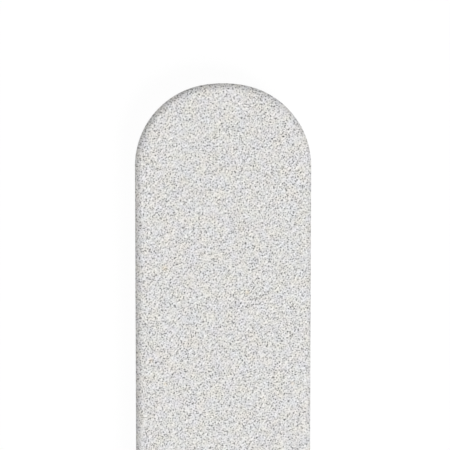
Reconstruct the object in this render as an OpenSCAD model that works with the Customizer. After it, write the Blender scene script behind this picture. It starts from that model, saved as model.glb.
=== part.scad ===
// Cushioned emery board: a stiff core between two foam pads, faced on both sides with abrasive paper.
// It lies flat on its lower face, with its length along Y and its thickness along Z.
// The origin is at the middle of the lower face.

/* [Board] */
// Length from tip to tip
board_l = 178; // [150:1:200]
// Width across the straight sides
board_w = 20; // [19:0.5:22]

/* [Tips] */
// Radius of the broad arc over each tip
crown_r = 13; // [12:0.5:18]
// Radius of the tighter arc at each shoulder of a tip
shoulder_r = 9.34; // [7:0.02:9.4]

/* [Layers] */
// Thickness of the stiff core strip
core_t = 1; // [0.6:0.1:2]
// Thickness of each foam pad
foam_t = 1; // [0.8:0.1:2]
// Thickness of each film of double-sided tape
tape_t = 0.08; // [0.05:0.01:0.15]
// Thickness of the paper that carries the grit
paper_t = 0.25; // [0.15:0.05:0.4]
// Thickness of the resin that bonds the grit to the paper
bond_t = 0.05; // [0.03:0.01:0.1]
// Height of the grit above the resin
grit_t = 0.16; // [0.08:0.01:0.3]

/* [Die-cut rims] */
// Width of the band that the die rolls over on the upper face
upper_roll_w = 0.9; // [0.4:0.05:1.2]
// How far the upper rim is pressed down at the cut
upper_roll_drop = 0.36; // [0.1:0.02:0.6]
// Width of the band that rolls over on the lower face, where the die comes out
lower_roll_w = 0.5; // [0.3:0.05:1]
// How far the lower rim is pressed up at the cut
lower_roll_drop = 0.1; // [0.06:0.02:0.24]

/* [Hidden] */
$fn = 96;

// Height of each layer's inner face above the middle of the core
core_tape_z = core_t / 2;
foam_z = core_tape_z + tape_t;
paper_tape_z = foam_z + foam_t;
paper_z = paper_tape_z + tape_t;
bond_z = paper_z + paper_t;
grit_z = bond_z + bond_t;
half_t = grit_z + grit_t;

// A tip is a crown arc between two shoulder arcs, which meet it and the sides at a tangent
shoulder_x = board_w / 2 - shoulder_r;
crown_y = board_l / 2 - crown_r;
shoulder_rise = sqrt(pow(crown_r - shoulder_r, 2) - pow(shoulder_x, 2));
shoulder_y = crown_y + shoulder_rise;

// A rim's roll is its width and its drop, and a flat face has none
NO_ROLL = [0, 0];
UPPER = "upper";
LOWER = "lower";
function rim_roll(side) =
    side == UPPER ? [upper_roll_w, upper_roll_drop] : [lower_roll_w, lower_roll_drop];

// Radius of the arc that falls by a roll's drop over its width
function roll_r(roll) = (pow(roll[0], 2) + pow(roll[1], 2)) / (2 * roll[1]);

// The sweeps set $reach, the distance from the axis of the sweep to the cut edge.
// All that lies below a face at height z, from that axis to the edge
module below_face(z, roll) {
    flat_w = $reach - roll[0];
    square([flat_w, z]);
    if (roll != NO_ROLL)
        intersection() {
            translate([flat_w, z - roll_r(roll)]) circle(roll_r(roll));
            translate([flat_w, 0]) square([roll[0], 2 * z]);
        }
}

// Half of a layer's cross-section, with its inner face at z and its outer face at z + t
module layer_section(z, t, outer_roll, inner_roll) {
    difference() {
        below_face(z + t, outer_roll);
        below_face(z, inner_roll);
    }
}

module sweep_straight() {
    $reach = board_w / 2;
    rotate([90, 0, 0])
        linear_extrude(2 * shoulder_y, center = true)
            for (side = [0, 1])
                mirror([side, 0])
                    children();
}

// Half a turn round a centre, cut off at the seams where the next sweep starts
module sweep_arc(centre, radius, start, seams) {
    $reach = radius;
    intersection() {
        translate(centre) rotate_extrude(angle = 180, start = start) children();
        translate([0, 0, -1]) linear_extrude(half_t + 2) polygon(seams);
    }
}

// Takes a half section round the whole outline of the board
module sweep_outline() {
    // the seam between crown and shoulder runs from the shoulder's centre to a point past the tip
    shoulder = [shoulder_x, shoulder_y];
    beyond = [5 * shoulder_x, crown_y + 5 * shoulder_rise];
    sweep_straight() children();
    for (tip = [0, 1])
        mirror([0, tip, 0]) {
            sweep_arc([0, crown_y], crown_r, 0, [
                shoulder, beyond, [-beyond.x, beyond.y], [-shoulder.x, shoulder.y]
            ]) children();
            for (side = [0, 1])
                mirror([side, 0, 0])
                    sweep_arc(shoulder, shoulder_r, -45, [
                        shoulder, [board_w, shoulder.y], [board_w, beyond.y], beyond
                    ]) children();
        }
}

// Places one half of the laminate, which is drawn upwards from the middle of the core
module on_side(side) {
    translate([0, 0, half_t])
        mirror([0, 0, side == LOWER ? 1 : 0])
            children();
}

module core_strip() {
    color([0.93, 0.93, 0.91])
        translate([0, 0, half_t - core_t / 2])
            sweep_outline() square([$reach, core_t]);
}

module core_tape(side) {
    color([0.88, 0.87, 0.8])
        on_side(side)
            sweep_outline() layer_section(core_tape_z, tape_t, NO_ROLL, NO_ROLL);
}

// The foam takes up the whole of the roll, so its inner face stays flat
module foam_pad(side) {
    color([0.95, 0.95, 0.94])
        on_side(side)
            sweep_outline() layer_section(foam_z, foam_t, rim_roll(side), NO_ROLL);
}

module paper_tape(side) {
    color([0.88, 0.87, 0.8])
        on_side(side)
            sweep_outline() layer_section(paper_tape_z, tape_t, rim_roll(side), rim_roll(side));
}

module backing_paper(side) {
    color([0.62, 0.63, 0.64])
        on_side(side)
            sweep_outline() layer_section(paper_z, paper_t, rim_roll(side), rim_roll(side));
}

module bond_coat(side) {
    color([0.7, 0.7, 0.69])
        on_side(side)
            sweep_outline() layer_section(bond_z, bond_t, rim_roll(side), rim_roll(side));
}

module grit(side) {
    color([0.84, 0.84, 0.83])
        on_side(side)
            sweep_outline() layer_section(grit_z, grit_t, rim_roll(side), rim_roll(side));
}

core_strip();
core_tape(UPPER);  // upper_core_tape
core_tape(LOWER);  // lower_core_tape
foam_pad(UPPER);  // upper_foam_pad
foam_pad(LOWER);  // lower_foam_pad
paper_tape(UPPER);  // upper_paper_tape
paper_tape(LOWER);  // lower_paper_tape
backing_paper(UPPER);  // upper_backing_paper
backing_paper(LOWER);  // lower_backing_paper
bond_coat(UPPER);  // upper_bond_coat
bond_coat(LOWER);  // lower_bond_coat
grit(UPPER);  // upper_grit
grit(LOWER);  // lower_grit
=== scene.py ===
import math
import bmesh
import bpy
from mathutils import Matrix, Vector


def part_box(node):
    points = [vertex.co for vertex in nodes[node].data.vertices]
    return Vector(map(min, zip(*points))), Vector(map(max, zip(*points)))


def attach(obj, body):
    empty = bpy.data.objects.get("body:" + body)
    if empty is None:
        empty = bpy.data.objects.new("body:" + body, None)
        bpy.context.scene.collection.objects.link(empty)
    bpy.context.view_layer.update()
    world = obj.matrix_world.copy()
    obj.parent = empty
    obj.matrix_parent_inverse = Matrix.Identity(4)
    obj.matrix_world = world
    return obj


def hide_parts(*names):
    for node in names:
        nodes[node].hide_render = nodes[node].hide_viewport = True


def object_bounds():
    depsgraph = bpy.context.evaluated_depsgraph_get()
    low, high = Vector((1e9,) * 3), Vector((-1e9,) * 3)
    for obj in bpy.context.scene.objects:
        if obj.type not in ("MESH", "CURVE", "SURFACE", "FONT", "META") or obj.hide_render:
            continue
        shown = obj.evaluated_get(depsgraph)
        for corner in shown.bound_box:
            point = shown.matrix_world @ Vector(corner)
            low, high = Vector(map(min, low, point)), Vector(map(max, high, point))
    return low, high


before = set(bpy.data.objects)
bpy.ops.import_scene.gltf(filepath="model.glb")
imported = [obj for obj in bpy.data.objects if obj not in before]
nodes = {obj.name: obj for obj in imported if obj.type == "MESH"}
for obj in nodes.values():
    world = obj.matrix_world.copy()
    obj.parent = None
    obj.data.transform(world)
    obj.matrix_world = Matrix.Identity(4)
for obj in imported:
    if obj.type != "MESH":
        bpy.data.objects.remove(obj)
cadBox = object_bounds()
print("frame loaded with", len(nodes), "layers")

# The board's outline: a broad crown arc over each tip, and a tighter arc at each shoulder.
outline = {
    "halfWidth": 0.010,
    "halfLength": 0.089,
    "crownRadius": 0.013,
    "shoulderRadius": 0.00934,
}
halfWidth, halfLength, crownRadius, shoulderRadius = outline.values()
shoulderX = halfWidth - shoulderRadius
crownY = halfLength - crownRadius
shoulderRise = math.sqrt((crownRadius - shoulderRadius) ** 2 - shoulderX ** 2)
shoulderY = crownY + shoulderRise
shoulderTurn = math.atan2(shoulderRise, shoulderX)

# Width and drop of the band that the die rolls over round each face.
rimRolls = {"upper": (0.0009, 0.00036), "lower": (0.0005, 0.0001)}
rimRings = 5    # rings of faces on that band
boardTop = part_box("upper_grit")[1].z
samePlace = 0.00001    # points no further apart than this are one


def deselectAll():
    bpy.ops.object.select_all(action="DESELECT")


def selectOnly(*pieces):    # the first one becomes active
    deselectAll()
    for piece in pieces:
        piece.select_set(True)
    bpy.context.view_layer.objects.active = pieces[0]


def pick(obj, kind, wanted):    # selects verts, edges or faces in edit mode
    bpy.context.tool_settings.mesh_select_mode = (kind == "verts", kind == "edges", kind == "faces")
    bpy.ops.mesh.select_all(action="DESELECT")
    mesh = bmesh.from_edit_mesh(obj.data)
    for part in getattr(mesh, kind):
        if not part.hide and wanted(part):
            part.select_set(True)
    bmesh.update_edit_mesh(obj.data)


def pickAll():
    bpy.ops.mesh.select_all(action="SELECT")


def pointFacesOutwards():
    pickAll()
    bpy.ops.mesh.normals_make_consistent(inside=False)


def leaveEditing():
    bpy.ops.object.mode_set(mode="OBJECT")


def useModifier(piece, name, kind, **settings):
    modifier = piece.modifiers.new(name, kind)
    for key, value in settings.items():
        setattr(modifier, key, value)
    bpy.ops.object.modifier_apply(modifier=name)


def inUse(sockets, name):    # a node may have several sockets of one name, with one in use
    return next(socket for socket in sockets if socket.name == name and socket.enabled)


def feed(tree, source, socket):    # source is a plain value, or what another node puts out
    if isinstance(source, bpy.types.NodeSocket):
        tree.links.new(source, socket)
    else:
        socket.default_value = source


def addNode(tree, kind, inputs=None, **settings):    # inputs go by their names, or by their places
    made = tree.nodes.new(kind)
    for key, value in settings.items():
        setattr(made, key, value)
    for key, source in (inputs or {}).items():
        feed(tree, source, made.inputs[key] if isinstance(key, int) else inUse(made.inputs, key))
    return made


def edgeDistance(point):    # how far inside the cut edge a point lies
    x, y = abs(point.x), abs(point.y)
    if y < shoulderY:
        return halfWidth - x
    if math.atan2(y - crownY, x) > shoulderTurn:
        return crownRadius - math.hypot(x, y - crownY)
    return shoulderRadius - math.hypot(x - shoulderX, y - shoulderY)


def rimFall(roll, distance):    # how far the rolled face has fallen at a distance from the cut
    band, drop = roll
    radius = (band ** 2 + drop ** 2) / (2 * drop)
    return radius - math.sqrt(radius ** 2 - max(0, band - distance) ** 2)


def traceOutline(name, z, step):    # leaves one upward face with the board's outline, in edit mode
    deselectAll()
    bpy.ops.mesh.primitive_plane_add(size=0.001, enter_editmode=True)
    obj = bpy.context.object
    obj.name = obj.data.name = name
    pickAll()
    bpy.ops.mesh.merge(type="CENTER")
    bpy.ops.transform.translate(value=(halfWidth, -shoulderY, z))
    straightSteps = round(2 * shoulderY / step)
    shoulderSteps = round(shoulderRadius * shoulderTurn / step)
    crownAngle = math.pi - 2 * shoulderTurn
    crownSteps = 2 * round(crownRadius * crownAngle / step / 2)
    for end in (1, -1):
        bpy.ops.mesh.extrude_repeat(steps=straightSteps, offset=(0, end * 2 * shoulderY / straightSteps, 0))
        for steps, angle, x, y in ((shoulderSteps, shoulderTurn, shoulderX, shoulderY),
                                   (crownSteps, crownAngle, 0, crownY),
                                   (shoulderSteps, shoulderTurn, -shoulderX, shoulderY)):
            bpy.ops.mesh.spin(steps=steps, angle=-angle, center=(end * x, end * y, z), axis=(0, 0, 1))
    pickAll()
    bpy.ops.mesh.remove_doubles(threshold=samePlace)
    bpy.ops.mesh.edge_face_add()
    bpy.context.tool_settings.mesh_select_mode = (False, False, True)
    if bmesh.from_edit_mesh(obj.data).faces[:][0].normal.z < 0:
        bpy.ops.mesh.flip_normals()
    return obj


def extrudeUp(height):
    bpy.ops.mesh.extrude_region_move(TRANSFORM_OT_translate={"value": (0, 0, height)})


def insetUpRoll(roll, outside=True):    # takes the selected face in from the cut, along the roll
    for ring in range(rimRings):
        start, end = roll[0] * ring / rimRings, roll[0] * (ring + 1) / rimRings
        climb = rimFall(roll, start) - rimFall(roll, end)
        bpy.ops.mesh.inset(thickness=end - start, depth=climb if outside else -climb)


def turnOver():    # takes a piece made for the upper face to the lower one, in edit mode
    pickAll()
    bpy.ops.transform.resize(value=(1, 1, -1), center_override=(0, 0, boardTop / 2))
    pointFacesOutwards()


# Sheet of grit on each face, rough all over

gritSheet = {
    "cell": 0.00021,          # size of the sheet's faces
    "bedDepth": 0.0001,       # how far the sheet lies below the tops of the tallest grains
    "wall": 0.00006,          # thickness of the sheet at the cut
    "tipMargin": 0.0003,      # the grid is cut round from this far before the shoulders
    "cutTurn": 4,             # degrees from one cut to the next
    "smallestEdge": 0.00006,  # shorter edges that the cuts leave are merged
    "smoothMargin": 0.0001,   # the sheet stays smooth this close to the cut
    "facingUp": 0.3,          # points whose normal rises more than this belong to the top
    "jitter": 0.00005,        # sideways
    "relief": 0.000014,       # up and down
}


def cutFlatGrid(top, inset):    # a grid cut round at the tips
    cell = gritSheet["cell"]
    width, length = 2 * (halfWidth - inset), 2 * (halfLength - inset)
    deselectAll()
    bpy.ops.mesh.primitive_grid_add(x_subdivisions=round(width / cell), y_subdivisions=round(length / cell),
                                    size=1, enter_editmode=True)
    flat = bpy.context.object
    pickAll()
    bpy.ops.transform.resize(value=(width, length, 1))
    bpy.ops.transform.translate(value=(0, 0, top))
    straightEnd = shoulderY - gritSheet["tipMargin"]
    pick(flat, "faces", lambda face: max(abs(vert.co.y) for vert in face.verts) < straightEnd)
    bpy.ops.mesh.hide()
    for end in (1, -1):
        for turn in range(0, 181, gritSheet["cutTurn"]):
            outwards = Vector((math.cos(math.radians(turn)), end * math.sin(math.radians(turn)), 0))
            centre, radius = Vector((0, end * crownY, top)), crownRadius
            if abs(turn - 90) >= 90 - math.degrees(shoulderTurn):
                centre = Vector((math.copysign(shoulderX, 90 - turn), end * shoulderY, top))
                radius = shoulderRadius
            pickAll()
            bpy.ops.mesh.bisect(plane_co=centre + outwards * (radius - inset), plane_no=outwards,
                                clear_outer=True, threshold=2 * samePlace)
    bpy.ops.mesh.reveal(select=False)
    pickAll()
    bpy.ops.mesh.remove_doubles(threshold=gritSheet["smallestEdge"])
    leaveEditing()
    return flat


def makeGritSheet(side, seed):
    top = boardTop - gritSheet["bedDepth"]
    roll = rimRolls[side]
    sheet = traceOutline(side + "GritSheet", top - roll[1] - gritSheet["wall"], gritSheet["cell"])
    extrudeUp(gritSheet["wall"])
    insetUpRoll(roll)
    bpy.ops.mesh.delete(type="ONLY_FACE")
    pick(sheet, "faces", lambda face: len(face.verts) > 4)
    insetUpRoll(roll, outside=False)
    leaveEditing()

    selectOnly(sheet, cutFlatGrid(top, roll[0] + gritSheet["cell"]))
    bpy.ops.object.join()
    bpy.ops.object.mode_set(mode="EDIT")
    pick(sheet, "edges", lambda edge: edge.is_boundary)
    bpy.ops.mesh.fill(use_beauty=True)
    pointFacesOutwards()

    pick(sheet, "verts", lambda vert: vert.normal.z > gritSheet["facingUp"]
         and edgeDistance(vert.co) > gritSheet["smoothMargin"])
    sheet.vertex_groups.new(name="bed")
    bpy.ops.object.vertex_group_assign()
    bpy.ops.transform.vertex_random(offset=gritSheet["relief"], normal=1, seed=seed)
    bpy.ops.transform.vertex_random(offset=gritSheet["jitter"], normal=0, seed=seed + 1)
    pickAll()    # the fill leaves the faces in any order, so they are sorted
    bpy.ops.mesh.sort_elements(type="CURSOR_DISTANCE", elements={"FACE"})
    if side == "lower":
        turnOver()
    leaveEditing()
    return sheet


# Proud grains, scattered over the sheets

grain = {
    "size": 0.00015,
    "irregular": 0.00003,
    "shapeSeed": 5,
    "spacing": 0.00022,
    "perSquareMetre": 6.4e6,
    "smallest": 0.7,
    "largest": 1.35,
    "anyTurn": 6.283,       # radians
    "onBed": 0.9,           # only faces on the rough bed by more than this share bear grains
}


def makeGrainShape():    # an irregular crystal with eight faces
    deselectAll()
    bpy.ops.mesh.primitive_uv_sphere_add(segments=4, ring_count=2, radius=grain["size"] / 2,
                                         enter_editmode=True)
    shape = bpy.context.object
    shape.name = "grainShape"
    pickAll()
    bpy.ops.transform.vertex_random(offset=grain["irregular"], normal=0, seed=grain["shapeSeed"])
    bpy.ops.mesh.quads_convert_to_tris()
    pointFacesOutwards()
    leaveEditing()
    return shape


def makeScatter(shape, seed):
    tree = bpy.data.node_groups.new("scatterGrains", "GeometryNodeTree")
    for way in ("INPUT", "OUTPUT"):
        tree.interface.new_socket("Geometry", in_out=way, socket_type="NodeSocketGeometry")

    def step(kind, output, inputs=None, **settings):
        return inUse(addNode(tree, "GeometryNode" + kind, inputs, **settings).outputs, output)

    def randomVector(low, high, seed):
        span = {"Min": (low,) * 3, "Max": (high,) * 3, "Seed": seed}
        made = addNode(tree, "FunctionNodeRandomValue", span, data_type="FLOAT_VECTOR")
        return inUse(made.outputs, "Value")

    sheet = addNode(tree, "NodeGroupInput").outputs["Geometry"]
    bed = step("InputNamedAttribute", "Attribute", {"Name": "bed"}, data_type="FLOAT")
    onBed = addNode(tree, "FunctionNodeCompare", {"A": bed, "B": grain["onBed"]}, data_type="FLOAT",
                    operation="GREATER_THAN")
    points = step("DistributePointsOnFaces", "Points",
                  {"Mesh": sheet, "Selection": onBed.outputs["Result"], "Distance Min": grain["spacing"],
                   "Density Max": grain["perSquareMetre"], "Seed": seed},
                  distribute_method="POISSON")
    crystals = step("InstanceOnPoints", "Instances",
                    {"Points": points, "Instance": step("ObjectInfo", "Geometry", {"Object": shape}),
                     "Rotation": randomVector(0, grain["anyTurn"], seed + 1),
                     "Scale": randomVector(grain["smallest"], grain["largest"], seed + 2)})
    real = step("RealizeInstances", "Geometry", {"Geometry": crystals})
    addNode(tree, "NodeGroupOutput", {"Geometry": real})
    return tree


def scatterGrains(sheet, side, shape, seed):
    selectOnly(sheet)
    bpy.ops.object.duplicate()
    grains = bpy.context.object
    grains.name = grains.data.name = side + "ProudGrains"
    useModifier(grains, "scatter", "NODES", node_group=makeScatter(shape, seed))
    # The tallest are worn level with the face, and the die has cut those at the sides and tips.
    low, high = cadBox
    for vert in grains.data.vertices:
        vert.co = [min(max(place, least), most) for place, least, most in zip(vert.co, low, high)]
    return grains


# Foam pads, with hollow sides where the die squeezed them and open cells at the cut

foamPad = {
    "step": 0.0002,
    "rows": 6,              # rows of faces up the side, doubled later
    "hollow": 0.00006,      # how far the side is drawn in half-way up
    "cellSize": 0.00028,
    "cellDepth": 0.00005,
    "upright": 0.5,         # points and faces whose normal rises less than this belong to the side
    "fill": 0.9,
}


def makeFoamPad(side):
    low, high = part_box("upper_foam_pad")
    roll = rimRolls[side]
    rows = foamPad["rows"]
    pad = traceOutline(side + "Foam", low.z, foamPad["step"])
    height = high.z - roll[1] - low.z
    for row in range(rows):
        extrudeUp(height / rows)
    insetUpRoll(roll)
    pointFacesOutwards()

    def onSide(part):
        return abs(part.normal.z) < foamPad["upright"]

    for row in range(1, rows):
        level = low.z + height * row / rows
        pick(pad, "verts", lambda vert: abs(vert.co.z - level) < samePlace and onSide(vert))
        bpy.ops.transform.shrink_fatten(value=-foamPad["hollow"] * math.sin(math.pi * row / rows))
    pick(pad, "faces", lambda face: onSide(face) and len(face.verts) == 4
         and face.calc_center_median().z < low.z + height)
    bpy.ops.mesh.subdivide(number_cuts=1)
    pick(pad, "verts", lambda vert: low.z + 2 * samePlace < vert.co.z < low.z + height - 2 * samePlace)
    pad.vertex_groups.new(name="cutSide")
    bpy.ops.object.vertex_group_assign()
    if side == "lower":
        turnOver()
    leaveEditing()

    cells = bpy.data.textures.new(side + "FoamCells", "VORONOI")
    cells.noise_scale = foamPad["cellSize"]
    useModifier(pad, "pits", "DISPLACE", texture=cells, vertex_group="cutSide",
                strength=foamPad["cellDepth"], mid_level=1)
    bpy.ops.object.shade_smooth()
    return pad


# Materials

white = (1, 1, 1, 1)


def calc(tree, operation, *sources):
    return addNode(tree, "ShaderNodeMath", dict(enumerate(sources)), operation=operation).outputs[0]


def vectorCalc(tree, operation, *sources):
    return addNode(tree, "ShaderNodeVectorMath", dict(enumerate(sources)), operation=operation).outputs[0]


def scaled(tree, vector, share):
    return addNode(tree, "ShaderNodeVectorMath", {0: vector, "Scale": share}, operation="SCALE").outputs[0]


def mapped(tree, value, given, wanted, curve="LINEAR"):    # takes the span given to the span wanted
    ends = dict(zip(("From Min", "From Max", "To Min", "To Max"), given + wanted))
    made = addNode(tree, "ShaderNodeMapRange", {"Value": value, **ends}, interpolation_type=curve)
    return inUse(made.outputs, "Result")


def mixed(tree, share, first, second):    # of two colours
    made = addNode(tree, "ShaderNodeMix", {"Factor": share, "A": first, "B": second}, data_type="RGBA")
    return inUse(made.outputs, "Result")


def objectPlace(tree):
    return addNode(tree, "ShaderNodeTexCoord").outputs["Object"]


def chanceOf(tree, cells, dimensions):    # a random value and colour for each cell
    return addNode(tree, "ShaderNodeTexWhiteNoise", {"Vector": cells.outputs["Position"]},
                   noise_dimensions=dimensions).outputs


def newMaterial(name):
    material = bpy.data.materials.new(name)
    material.use_nodes = True
    return material, material.node_tree, material.node_tree.nodes["Principled BSDF"]


def newGroup(name, inputs, outputs):    # a shared effect, with its named values and results
    group = bpy.data.node_groups.new(name, "ShaderNodeTree")
    for label, value in inputs.items():
        kind = "NodeSocketColor" if isinstance(value, tuple) else "NodeSocketFloat"
        group.interface.new_socket(label, in_out="INPUT", socket_type=kind).default_value = value
    for label, kind in outputs.items():
        group.interface.new_socket(label, in_out="OUTPUT", socket_type="NodeSocket" + kind)
    return group, addNode(group, "NodeGroupInput").outputs, addNode(group, "NodeGroupOutput").inputs


def placeGroup(tree, group, values):
    return addNode(tree, "ShaderNodeGroup", values, node_tree=group).outputs


gritLook = {
    "colour": (0.889, 0.878, 0.881),
    "roughness": 0.6,
    "paintedRimShade": 0.22,    # painted shade at the cut edge, darkening the rolled rim
    "cutReach": 0.8,         # mm
    "grains": {
        "Grain Size": 0.000075, "Facet Tilt": 0.3, "Speck": 0.72, "Speck Rarity": 4.8,
        "Gap Shadow Spacing": 0.00026, "Gap Shadow Depth": 1.0, "Gap Shadow Evenness": 0.15,
        "Gap Shadow Inner": 0.17, "Gap Shadow Outer": 0.25, "Gap Shadow Widest": 0.37,
        "Tint Size": 0.0014, "Warm": (0.998, 0.99, 0.932, 1), "Cool": (0.966, 0.978, 0.999, 1),
        "Pink": (1.0, 0.985, 0.99, 1), "Green": (0.988, 1.0, 0.994, 1),
        "Stray Spacing": 0.007, "Stray Rarity": 0.6, "Stray": (1.0, 0.94, 0.84, 1),
    },
    "proudChanges": {"Gap Shadow Depth": 0.0},    # the painted gap shadows lie between the proud grains, not on them
    "gapShadowScatter": 0.85,
    "gapShadowTurn": 0.5,              # radians
    "raggedFineness": 12000,     # per metre
    "raggedReach": 0.00014,
    "tintSpan": (0.3, 0.7),      # of the noise that the tints follow
    "strayReach": 0.07,          # as a share of the stray spacing
}


def makeMineralGroup():    # fine grains with a tone and a facet each, painted shadows in the gaps between them, and faint tints
    group, given, result = newGroup("mineralGrains", gritLook["grains"],
                                    {"Shade": "Float", "Tint": "Color", "Normal": "Vector"})
    place = objectPlace(group)
    middle = (0.5, 0.5, 0.5)

    def cells(spacing, place, scatter=1):
        fineness = calc(group, "DIVIDE", 1, given[spacing])
        fit = {"Vector": place, "Scale": fineness, "Randomness": scatter}
        return addNode(group, "ShaderNodeTexVoronoi", fit, voronoi_dimensions="2D")

    def takenFromOne(*factors):
        return calc(group, "SUBTRACT", 1, calc(group, "MULTIPLY", *factors))

    grains = cells("Grain Size", place)
    chance = chanceOf(group, grains, "2D")
    pale = takenFromOne(calc(group, "POWER", chance["Value"], given["Speck Rarity"]), given["Speck"])

    ragged = addNode(group, "ShaderNodeTexNoise",
                     {"Vector": place, "Scale": gritLook["raggedFineness"], "Detail": 0}).outputs["Color"]
    moved = vectorCalc(group, "MULTIPLY_ADD", vectorCalc(group, "SUBTRACT", ragged, middle),
                       (gritLook["raggedReach"], gritLook["raggedReach"], 0), place)
    turned = addNode(group, "ShaderNodeVectorRotate", {"Vector": moved, "Angle": gritLook["gapShadowTurn"]},
                     rotation_type="Z_AXIS").outputs[0]
    # dark dots between the grains: painted shadow in the gaps
    pits = cells("Gap Shadow Spacing", turned, gritLook["gapShadowScatter"])
    gapShadowChance = chanceOf(group, pits, "2D")["Value"]
    depth = mapped(group, gapShadowChance, (0, 1), (given["Gap Shadow Evenness"], 1))
    reach = mapped(group, gapShadowChance, (0, 1), (given["Gap Shadow Outer"], given["Gap Shadow Widest"]))
    gapShadowSpot = mapped(group, pits.outputs["Distance"], (given["Gap Shadow Inner"], reach), (1, 0), "SMOOTHSTEP")
    gapUnshaded = takenFromOne(calc(group, "MULTIPLY", depth, gapShadowSpot), given["Gap Shadow Depth"])
    feed(group, calc(group, "MULTIPLY", pale, gapUnshaded), result["Shade"])

    lean = scaled(group, vectorCalc(group, "SUBTRACT", chance["Color"], middle), given["Facet Tilt"])
    normal = addNode(group, "ShaderNodeNewGeometry").outputs["Normal"]
    feed(group, vectorCalc(group, "NORMALIZE", vectorCalc(group, "ADD", lean, normal)), result["Normal"])

    clouds = addNode(group, "ShaderNodeTexNoise",
                     {"Vector": place, "Scale": calc(group, "DIVIDE", 1, given["Tint Size"]), "Detail": 1})
    channels = addNode(group, "ShaderNodeSeparateColor", {0: clouds.outputs["Color"]}).outputs
    coolness = mapped(group, channels["Red"], gritLook["tintSpan"], (0, 1))
    greenness = mapped(group, channels["Green"], gritLook["tintSpan"], (0, 1))
    tints = vectorCalc(group, "MULTIPLY", mixed(group, coolness, given["Warm"], given["Cool"]),
                       mixed(group, greenness, given["Pink"], given["Green"]))

    strays = cells("Stray Spacing", place)
    strayReach = mapped(group, chanceOf(group, strays, "2D")["Value"], (given["Stray Rarity"], 1),
                        (0, gritLook["strayReach"]))
    near = mapped(group, strays.outputs["Distance"], (0, strayReach), (1, 0))
    stray = mixed(group, near, white, given["Stray"])
    feed(group, vectorCalc(group, "MULTIPLY", tints, stray), result["Tint"])
    return group


def makeGritMaterial(name, mineral, changes):
    material, tree, surface = newMaterial(name)
    grains = placeGroup(tree, mineral, changes)
    cut = addNode(tree, "ShaderNodeAttribute", attribute_name="cutDistance").outputs["Fac"]
    # darker towards the cut edge: painted shade on the rolled rim
    rimShade = mapped(tree, cut, (0, gritLook["cutReach"]), (1 - gritLook["paintedRimShade"], 1))
    shaded = scaled(tree, grains["Tint"], calc(tree, "MULTIPLY", grains["Shade"], rimShade))
    feed(tree, vectorCalc(tree, "MULTIPLY", shaded, gritLook["colour"]), surface.inputs["Base Color"])
    feed(tree, grains["Normal"], surface.inputs["Normal"])
    surface.inputs["Roughness"].default_value = gritLook["roughness"]
    return material


def makeDrawnNoiseGroup():    # noise with its own width and height, for fibres, score marks and lumps
    group, given, result = newGroup(
        "drawnNoise", {"Width": 0.0001, "Height": 0.0001, "Darkening": 0.1, "Low": 0.35, "High": 0.65},
        {"Shade": "Float", "Level": "Float"})
    across = calc(group, "DIVIDE", 1, given["Width"])
    upwards = calc(group, "DIVIDE", 1, given["Height"])
    fineness = addNode(group, "ShaderNodeCombineXYZ", {"X": across, "Y": across, "Z": upwards}).outputs[0]
    drawn = vectorCalc(group, "MULTIPLY", objectPlace(group), fineness)
    noise = addNode(group, "ShaderNodeTexNoise",
                    {"Vector": drawn, "Scale": 1, "Detail": 2, "Roughness": 0.6})
    level = mapped(group, noise.outputs["Fac"], (given["Low"], given["High"]), (0, 1))
    darkest = calc(group, "SUBTRACT", 1, given["Darkening"])
    feed(group, mapped(group, level, (0, 1), (darkest, 1)), result["Shade"])
    feed(group, level, result["Level"])
    return group


def makeFoamCellGroup():    # closed cells that the die has cut open, with thin pale walls and painted shade in their hollows
    group, given, result = newGroup(
        "foamCells", {"Cell Size": 0.00015, "Hollow Painted Shade": 0.25, "Wall": 0.12, "Unevenness": 0.1},
        {"Shade": "Float", "Level": "Float"})
    fit = {"Vector": objectPlace(group), "Scale": calc(group, "DIVIDE", 1, given["Cell Size"])}
    walls = addNode(group, "ShaderNodeTexVoronoi", fit, feature="DISTANCE_TO_EDGE")
    cells = addNode(group, "ShaderNodeTexVoronoi", fit)
    hollow = mapped(group, walls.outputs["Distance"], (0, given["Wall"]), (0, 1), "SMOOTHSTEP")
    # the open hollows are darkened: painted shade, as in a recess
    hollowShade = calc(group, "MULTIPLY", hollow, given["Hollow Painted Shade"])
    uneven = calc(group, "MULTIPLY", chanceOf(group, cells, "3D")["Value"], given["Unevenness"])
    feed(group, calc(group, "SUBTRACT", 1, calc(group, "ADD", hollowShade, uneven)), result["Shade"])
    feed(group, calc(group, "SUBTRACT", 1, hollow), result["Level"])
    return group


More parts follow.
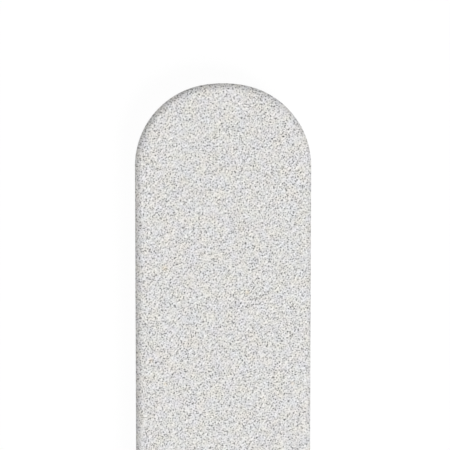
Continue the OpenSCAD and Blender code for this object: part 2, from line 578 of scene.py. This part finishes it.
# The looks of the layers, whose cut edges show from the side. The cells of a layer, or else its first
# pattern, set its roughness and bump too.
layerLooks = {
    "corePlastic": {    # polystyrene, scored by the die and stress-whitened in places
        "colour": (0.86, 0.86, 0.84), "roughness": (0.38, 0.6), "bump": 0.000012,
        "patterns": [{"Width": 0.00005, "Height": 0.0012, "Darkening": 0.13},
                     {"Width": 0.0012, "Height": 0.0006, "Darkening": 0.06}],
    },
    "tape": {    # clear adhesive that has oozed a little and caught dust
        "colour": (0.8, 0.79, 0.74), "roughness": (0.3, 0.55), "bump": 0.00001,
        "patterns": [{"Width": 0.0003, "Height": 0.00012, "Darkening": 0.14},
                     {"Width": 0.00005, "Height": 0.00005, "Darkening": 0.3, "Low": 0.25, "High": 0.4}],
    },
    "backingPaper": {    # heavy grey paper, its fibres lying flat in the sheet
        "colour": (0.42, 0.43, 0.44), "roughness": (0.8, 0.95), "bump": 0.000015,
        "patterns": [{"Width": 0.0005, "Height": 0.00003, "Darkening": 0.3},
                     {"Width": 0.00006, "Height": 0.0003, "Darkening": 0.18},
                     {"Width": 0.002, "Height": 0.002, "Darkening": 0.08}],
    },
    "bondResin": {    # lumpy where it has crept up round the grains
        "colour": (0.55, 0.55, 0.54), "roughness": (0.5, 0.75), "bump": 0.000015,
        "patterns": [{"Width": 0.00014, "Height": 0.00014, "Darkening": 0.28},
                     {"Width": 0.0006, "Height": 0.0006, "Darkening": 0.1}],
    },
    "foam": {    # fine closed cells, slightly dragged by the die
        "colour": (0.85, 0.85, 0.84), "roughness": (0.85, 0.95), "bump": 0.00002,
        "cells": {"Cell Size": 0.00016, "Hollow Painted Shade": 0.2, "Wall": 0.16, "Unevenness": 0.1},
        "patterns": [{"Width": 0.00025, "Height": 0.0006, "Darkening": 0.07},
                     {"Width": 0.0025, "Height": 0.0012, "Darkening": 0.05}],
    },
}
bumpStrength = 0.6


def makeLayerMaterial(name, drawnNoise, foamCells):
    look = layerLooks[name]
    material, tree, surface = newMaterial(name)
    effects = [placeGroup(tree, foamCells, look["cells"])] if "cells" in look else []
    effects += [placeGroup(tree, drawnNoise, values) for values in look["patterns"]]
    colour = look["colour"]
    for effect in effects:
        colour = scaled(tree, colour, effect["Shade"])
    smooth, rough = look["roughness"]
    level = effects[0]["Level"]
    bump = addNode(tree, "ShaderNodeBump",
                   {"Strength": bumpStrength, "Distance": look["bump"], "Height": level})
    feed(tree, colour, surface.inputs["Base Color"])
    feed(tree, mapped(tree, level, (0, 1), (rough, smooth)), surface.inputs["Roughness"])
    feed(tree, bump.outputs["Normal"], surface.inputs["Normal"])
    return material


def dress(piece, material):
    piece.data.materials.clear()
    piece.data.materials.append(material)


def markCutDistance(piece):    # in mm, for the material to read
    marks = piece.data.attributes.new("cutDistance", "FLOAT", "POINT")
    marks.data.foreach_set("value", [edgeDistance(vert.co) * 1000 for vert in piece.data.vertices])


# Each piece's own map, for its finish to be baked to

bakeMap = {
    "strips": 3,            # a sheet's face is laid out as three times three strips
    "stripsTop": 0.955,     # the strips end here
    "cutRows": 7,
    "cutTop": 0.98,         # the rows of faces of the cut end here, with the covered side above them
    "foamStrips": 20,       # the side of a foam pad is laid out as twenty strips
    "margin": 0.01,         # round each strip, as a share of it
    "upright": 0.3,         # a face of the cut has a normal that rises less than this
    "level": 0.8,           # and a face that the tapes cover has one that rises more than this
    "grainGap": 0.04,       # between two faces of a grain that share a square
}


def layOut(piece, spread):    # spread gives the places of one face's corners
    places = piece.data.uv_layers.new(name="OFBake").data
    verts, loops = piece.data.vertices, piece.data.loops
    for face in piece.data.polygons:
        corners = [verts[loops[corner].vertex_index].co for corner in face.loop_indices]
        for corner, place in zip(face.loop_indices, spread(face, corners)):
            places[corner].uv = place


def inCell(column, row, columns, rows, low, high, x, y):    # a place in one cell of a band of cells
    inner = 1 - 2 * bakeMap["margin"]
    return ((column + bakeMap["margin"] + inner * x) / columns,
            low + (high - low) * (row + bakeMap["margin"] + inner * y) / rows)


def shareAcross(point):
    return point.x / (2 * halfWidth) + 0.5


def coveredSide(corners):    # a strip along the top of the map
    return [inCell(0, 0, 1, 1, bakeMap["cutTop"], 1, corner.y / (2 * halfLength) + 0.5, shareAcross(corner))
            for corner in corners]


def layOutSheet(sheet, outwards):
    strips, cutRows = bakeMap["strips"], bakeMap["cutRows"]
    stripLength = 2 * halfLength / strips ** 2
    cutFaces = [face for face in sheet.data.polygons if abs(face.normal.z) < bakeMap["upright"]
                and len(face.vertices) == 4 and edgeDistance(face.center) < samePlace]
    cutFaces.sort(key=lambda face: (face.center.y, face.center.x))
    cutPlace = {face.index: count for count, face in enumerate(cutFaces)}
    perRow = math.ceil(len(cutFaces) / cutRows)
    square = ((0, 0), (1, 0), (1, 1), (0, 1))

    def spread(face, corners):
        if face.index in cutPlace:
            row, column = divmod(cutPlace[face.index], perRow)
            return [inCell(column, row, perRow, cutRows, bakeMap["stripsTop"], bakeMap["cutTop"], *place)
                    for place in square]
        if face.normal.z * outwards < 0:    # the side that lies on the resin
            return coveredSide(corners)
        strip = min(strips ** 2 - 1, int((face.center.y + halfLength) / stripLength))
        row, column = divmod(strip, strips)
        return [inCell(column, row, strips, strips, 0, bakeMap["stripsTop"], shareAcross(corner),
                       (corner.y + halfLength) / stripLength - strip) for corner in corners]

    layOut(sheet, spread)


def layOutGrains(grains):    # a square for each grain, with its eight faces in four pairs
    perRow = math.ceil(math.sqrt(len(grains.data.polygons) / 8))
    gap = bakeMap["grainGap"]
    halves = (((1, 1), (gap, 1), (1, gap)), ((0, 0), (1 - gap, 0), (0, 1 - gap)))

    def spread(face, corners):
        grainRow, grainColumn = divmod(face.index // 8, perRow)
        pair = face.index % 8 // 2
        row, column = 2 * grainRow + pair // 2, 2 * grainColumn + pair % 2
        return [inCell(column, row, 2 * perRow, 2 * perRow, 0, 1, *place)
                for place in halves[face.index % 2]]

    layOut(grains, spread)


def edgeTravel(point):    # how far along a quarter of the cut edge a point lies, as a share
    x, y = abs(point.x), abs(point.y)
    shoulderTravel = shoulderRadius * shoulderTurn
    quarter = shoulderY + shoulderTravel + crownRadius * (math.pi / 2 - shoulderTurn)
    crownAngle = math.atan2(y - crownY, x)
    if y < shoulderY:
        return y / quarter
    if crownAngle > shoulderTurn:
        return (shoulderY + shoulderTravel + crownRadius * (crownAngle - shoulderTurn)) / quarter
    return (shoulderY + shoulderRadius * math.atan2(y - shoulderY, x - shoulderX)) / quarter


def layOutFoam(pad):
    strips = bakeMap["foamStrips"]
    inQuarter = strips // 4
    heights = [vert.co.z for vert in pad.data.vertices]
    low, height = min(heights), max(heights) - min(heights)

    def spread(face, corners):
        if abs(face.normal.z) > bakeMap["level"]:
            return coveredSide(corners)
        quarter = (face.center.x > 0) + 2 * (face.center.y > 0)
        strip = min(inQuarter - 1, int(edgeTravel(face.center) * inQuarter))
        return [inCell(0, quarter * inQuarter + strip, 1, strips, 0, bakeMap["cutTop"],
                       edgeTravel(corner) * inQuarter - strip, (corner.z - low) / height)
                for corner in corners]

    layOut(pad, spread)


mineral, drawnNoise, foamCells = makeMineralGroup(), makeDrawnNoiseGroup(), makeFoamCellGroup()
gritMaterial = makeGritMaterial("grit", mineral, {})
proudMaterial = makeGritMaterial("proudGrit", mineral, gritLook["proudChanges"])
layerMaterials = {name: makeLayerMaterial(name, drawnNoise, foamCells) for name in layerLooks}
grainShape = makeGrainShape()
for side, seed, outwards in (("upper", 3, 1), ("lower", 8, -1)):
    sheet = makeGritSheet(side, seed)
    grains = scatterGrains(sheet, side, grainShape, seed)
    pad = makeFoamPad(side)
    layOutSheet(sheet, outwards)
    layOutGrains(grains)
    layOutFoam(pad)
    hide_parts(side + "_grit")
    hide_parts(side + "_foam_pad")
    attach(pad, "root")
    dress(pad, layerMaterials["foam"])
    for piece, material in ((sheet, gritMaterial), (grains, proudMaterial)):
        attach(piece, "root")
        markCutDistance(piece)
        dress(piece, material)
    for piece in (sheet, grains, pad):
        print(piece.name, len(piece.data.polygons), "faces")
bpy.data.objects.remove(grainShape)

layerOfNode = {"core_strip": "corePlastic", "core_tape": "tape", "paper_tape": "tape",
               "backing_paper": "backingPaper", "bond_coat": "bondResin"}
for name, node in nodes.items():
    for ending, look in layerOfNode.items():
        if name.endswith(ending):
            dress(node, layerMaterials[look])
print("layers finished")


# Light, floor and camera

view = {
    "place": (0.00022, 0.08216, 0.154),
    "tilt": 3.51,           # degrees
    "lens": 105.83,
    "nearest": 0.01,        # metres from the camera that still show
}
bpy.ops.object.camera_add(location=view["place"], rotation=(-math.radians(view["tilt"]), 0, 0))
camera = bpy.context.object
camera.data.lens = view["lens"]
camera.data.clip_start = view["nearest"]
bpy.context.scene.camera = camera

light = {
    "azimuth": -49,
    "elevation": 46,
    "strength": 2.18,
    "softness": 22,         # degrees
    "surroundings": 0.5,
}
azimuth, elevation = math.radians(light["azimuth"]), math.radians(light["elevation"])
towardsLight = Vector((math.cos(azimuth) * math.cos(elevation), math.sin(azimuth) * math.cos(elevation),
                       math.sin(elevation)))
bpy.ops.object.light_add(type="SUN", rotation=towardsLight.to_track_quat("Z", "Y").to_euler())
lamp = bpy.context.object
lamp.data.energy = light["strength"]
lamp.data.angle = math.radians(light["softness"])


def seenDirectly(tree):    # 1 where the camera, a reflection or glass looks, 0 for light on the object
    path = addNode(tree, "ShaderNodeLightPath").outputs
    inView = calc(tree, "MAXIMUM", path["Is Camera Ray"], path["Is Glossy Ray"])
    return calc(tree, "MAXIMUM", inView, path["Is Transmission Ray"])


def blendShaders(tree, share, first, second, output):
    blend = addNode(tree, "ShaderNodeMixShader", {0: share, 1: first.outputs[0], 2: second.outputs[0]})
    feed(tree, blend.outputs[0], tree.nodes[output].inputs["Surface"])


def makeWorld():
    world = bpy.data.worlds.new("studio")
    bpy.context.scene.world = world
    world.use_nodes = True
    tree = world.node_tree
    lighting = tree.nodes["Background"]
    lighting.inputs["Color"].default_value = white
    lighting.inputs["Strength"].default_value = light["surroundings"]
    backdrop = addNode(tree, "ShaderNodeBackground", {"Color": white, "Strength": 1})
    blendShaders(tree, seenDirectly(tree), lighting, backdrop, "World Output")


floorLook = {
    "size": 3,
    "depth": 0.00001,       # how far it lies under the board
    "colour": (0.82, 0.82, 0.82, 1),
    "glow": 1.02,
    "shadow": 0.06,         # share of the floor's seen brightness that a shadow can take
}


def makeFloor():
    bpy.ops.mesh.primitive_plane_add(size=floorLook["size"], location=(0, 0, -floorLook["depth"]))
    floor = bpy.context.object
    floor.name = "floor"
    material, tree, surface = newMaterial("floor")
    surface.inputs["Base Color"].default_value = floorLook["colour"]
    surface.inputs["Roughness"].default_value = 1
    surface.inputs["Specular IOR Level"].default_value = 0
    glow = addNode(tree, "ShaderNodeEmission", {"Color": white, "Strength": floorLook["glow"]})
    share = calc(tree, "MULTIPLY", seenDirectly(tree), 1 - floorLook["shadow"])
    blendShaders(tree, share, surface, glow, "Material Output")
    dress(floor, material)


makeWorld()
makeFloor()
bpy.context.scene.view_settings.view_transform = "Standard"
print("floor, light and camera in place")
